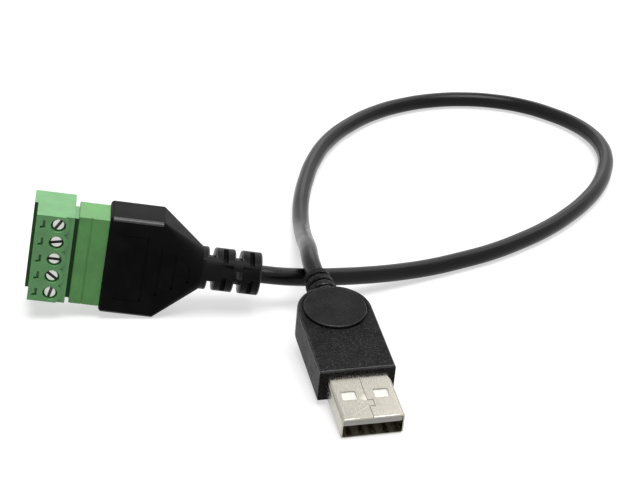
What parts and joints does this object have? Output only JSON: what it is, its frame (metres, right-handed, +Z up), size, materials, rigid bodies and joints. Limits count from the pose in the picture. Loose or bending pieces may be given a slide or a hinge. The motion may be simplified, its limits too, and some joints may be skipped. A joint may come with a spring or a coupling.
{
  "type": "usb-a to screw terminal adapter lead",
  "caption": "USB-A plug on a short round cable that ends in a moulded housing with a pluggable screw terminal block.",
  "frame": {"origin": "on the surface the lead lies on, under the middle of the box round the two connectors as they lie (without the cable)", "axes": "+X to the right, from the terminal end towards the cable; +Y away from the USB plug's mouth, to the back of the cable's loop; +Z up"},
  "size_m": [0.138, 0.1601, 0.0237],
  "materials": {
    "black_pvc": "satin black moulded PVC with a fine grain",
    "cable_jacket": "smooth black PVC cable jacket",
    "green_polyamide": "green polyamide, slightly glossy",
    "nickel_shell": "nickel-plated rolled sheet steel",
    "zinc_steel": "zinc-plated steel",
    "tinned_brass": "tin-plated brass",
    "gold_contact": "gold-plated spring contact",
    "white_insulator": "white thermoplastic insulator",
    "inner_fill": "natural moulding compound",
    "wire_red": "red wire insulation",
    "wire_white": "white wire insulation",
    "wire_green": "green wire insulation",
    "wire_black": "black wire insulation",
    "wire_shield": "tinned copper drain wire"
  },
  "bodies": {
    "lead": {"adapter_housing": "black_pvc", "adapter_inner_mould": "inner_fill", "header_shell": "green_polyamide", "header_pin_1": "tinned_brass", "header_pin_2": "tinned_brass", "header_pin_3": "tinned_brass", "header_pin_4": "tinned_brass", "header_pin_5": "tinned_brass", "cable": "cable_jacket", "conductor_red": "wire_red", "conductor_white": "wire_white", "conductor_green": "wire_green", "conductor_black": "wire_black", "conductor_shield": "wire_shield", "usb_overmould": "black_pvc", "usb_inner_mould": "inner_fill", "usb_shell": "nickel_shell", "usb_insulator": "white_insulator", "usb_contact_vbus": "gold_contact", "usb_contact_data_minus": "gold_contact", "usb_contact_data_plus": "gold_contact", "usb_contact_ground": "gold_contact"},
    "plug_block": {"terminal_plug": "green_polyamide", "socket_contact_1": "tinned_brass", "socket_contact_2": "tinned_brass", "socket_contact_3": "tinned_brass", "socket_contact_4": "tinned_brass", "socket_contact_5": "tinned_brass"},
    "screw_1": {"clamp_screw_1": "zinc_steel"},
    "cage_1": {"clamp_cage_1": "zinc_steel"},
    "screw_2": {"clamp_screw_2": "zinc_steel"},
    "cage_2": {"clamp_cage_2": "zinc_steel"},
    "screw_3": {"clamp_screw_3": "zinc_steel"},
    "cage_3": {"clamp_cage_3": "zinc_steel"},
    "screw_4": {"clamp_screw_4": "zinc_steel"},
    "cage_4": {"clamp_cage_4": "zinc_steel"},
    "screw_5": {"clamp_screw_5": "zinc_steel"},
    "cage_5": {"clamp_cage_5": "zinc_steel"}
  },
  "joints": [
    {"name": "plug_pull", "type": "slide", "parent": "lead", "child": "plug_block", "axis": [-0.9903, 0, 0.1392], "range_m": [0, 0.015]},
    {"name": "screw_turn_1", "type": "hinge", "parent": "plug_block", "child": "screw_1", "pos_m": [-0.03056, 0.0181, 0.00597], "axis": [0, 1, 0], "range_deg": [0, 1711]},
    {"name": "screw_turn_2", "type": "hinge", "parent": "plug_block", "child": "screw_2", "pos_m": [-0.03003, 0.0181, 0.00975], "axis": [0, 1, 0], "range_deg": [0, 1711]},
    {"name": "screw_turn_3", "type": "hinge", "parent": "plug_block", "child": "screw_3", "pos_m": [-0.0295, 0.0181, 0.01352], "axis": [0, 1, 0], "range_deg": [0, 1711]},
    {"name": "screw_turn_4", "type": "hinge", "parent": "plug_block", "child": "screw_4", "pos_m": [-0.02897, 0.0181, 0.01729], "axis": [0, 1, 0], "range_deg": [0, 1711]},
    {"name": "screw_turn_5", "type": "hinge", "parent": "plug_block", "child": "screw_5", "pos_m": [-0.02844, 0.0181, 0.02107], "axis": [0, 1, 0], "range_deg": [0, 1711]},
    {"name": "cage_lift_1", "type": "slide", "parent": "plug_block", "child": "cage_1", "axis": [0, -1, 0], "range_m": [0, 0.0019]},
    {"name": "cage_lift_2", "type": "slide", "parent": "plug_block", "child": "cage_2", "axis": [0, -1, 0], "range_m": [0, 0.0019]},
    {"name": "cage_lift_3", "type": "slide", "parent": "plug_block", "child": "cage_3", "axis": [0, -1, 0], "range_m": [0, 0.0019]},
    {"name": "cage_lift_4", "type": "slide", "parent": "plug_block", "child": "cage_4", "axis": [0, -1, 0], "range_m": [0, 0.0019]},
    {"name": "cage_lift_5", "type": "slide", "parent": "plug_block", "child": "cage_5", "axis": [0, -1, 0], "range_m": [0, 0.0019]}
  ],
  "couplings": [
    {"joint": "screw_turn_1", "follows": "cage_lift_1", "rad_per_m": 15708},
    {"joint": "screw_turn_2", "follows": "cage_lift_2", "rad_per_m": 15708},
    {"joint": "screw_turn_3", "follows": "cage_lift_3", "rad_per_m": 15708},
    {"joint": "screw_turn_4", "follows": "cage_lift_4", "rad_per_m": 15708},
    {"joint": "screw_turn_5", "follows": "cage_lift_5", "rad_per_m": 15708}
  ]
}
